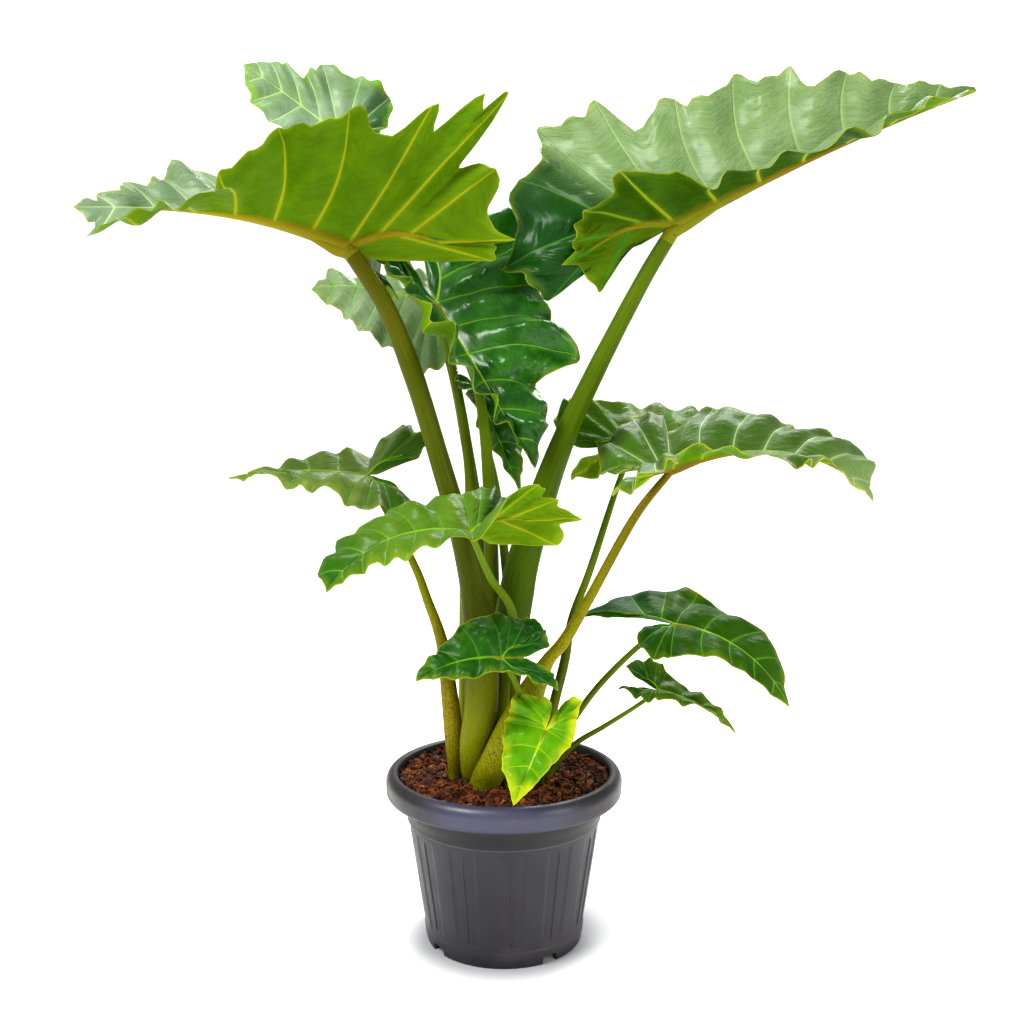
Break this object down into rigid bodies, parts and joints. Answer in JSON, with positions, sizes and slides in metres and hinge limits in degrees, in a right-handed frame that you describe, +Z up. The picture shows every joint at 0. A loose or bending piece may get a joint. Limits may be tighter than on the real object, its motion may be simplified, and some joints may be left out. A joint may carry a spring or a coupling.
{
  "type": "potted portodora alocasia",
  "caption": "Tall potted aroid house plant: wavy arrow-shaped leaves on long upright stalks, rising from bark mix in a round ribbed nursery pot.",
  "frame": {"origin": "centre of the flat underside of the pot, on the surface that the pot stands on", "axes": "+Z up along the pot's axis, +X to the right and +Y away, seen from the front of the plant"},
  "size_m": [1.1569, 0.5022, 1.2813],
  "materials": {
    "pot": "satin charcoal grey",
    "soil": "rough bark and coir crumbs",
    "corm": "rough",
    "petiole": "satin green with brown flecks",
    "blade": "waxy green with light veins"
  },
  "bodies": {
    "root": {"pot": "pot", "soil": "soil", "corm_main": "corm", "corm_side": "corm", "petiole_01": "petiole", "blade_01": "blade", "petiole_02": "petiole", "blade_02": "blade", "petiole_03": "petiole", "blade_03": "blade", "petiole_04": "petiole", "blade_04": "blade", "petiole_05": "petiole", "blade_05": "blade", "petiole_06": "petiole", "blade_06": "blade", "petiole_07": "petiole", "blade_07": "blade", "petiole_08": "petiole", "blade_08": "blade", "petiole_09": "petiole", "blade_09": "blade", "petiole_10": "petiole", "blade_10": "blade", "petiole_11": "petiole", "blade_11": "blade", "petiole_12": "petiole", "blade_12": "blade", "petiole_13": "petiole", "blade_13": "blade", "petiole_14": "petiole", "blade_14": "blade"}
  },
  "joints": []
}
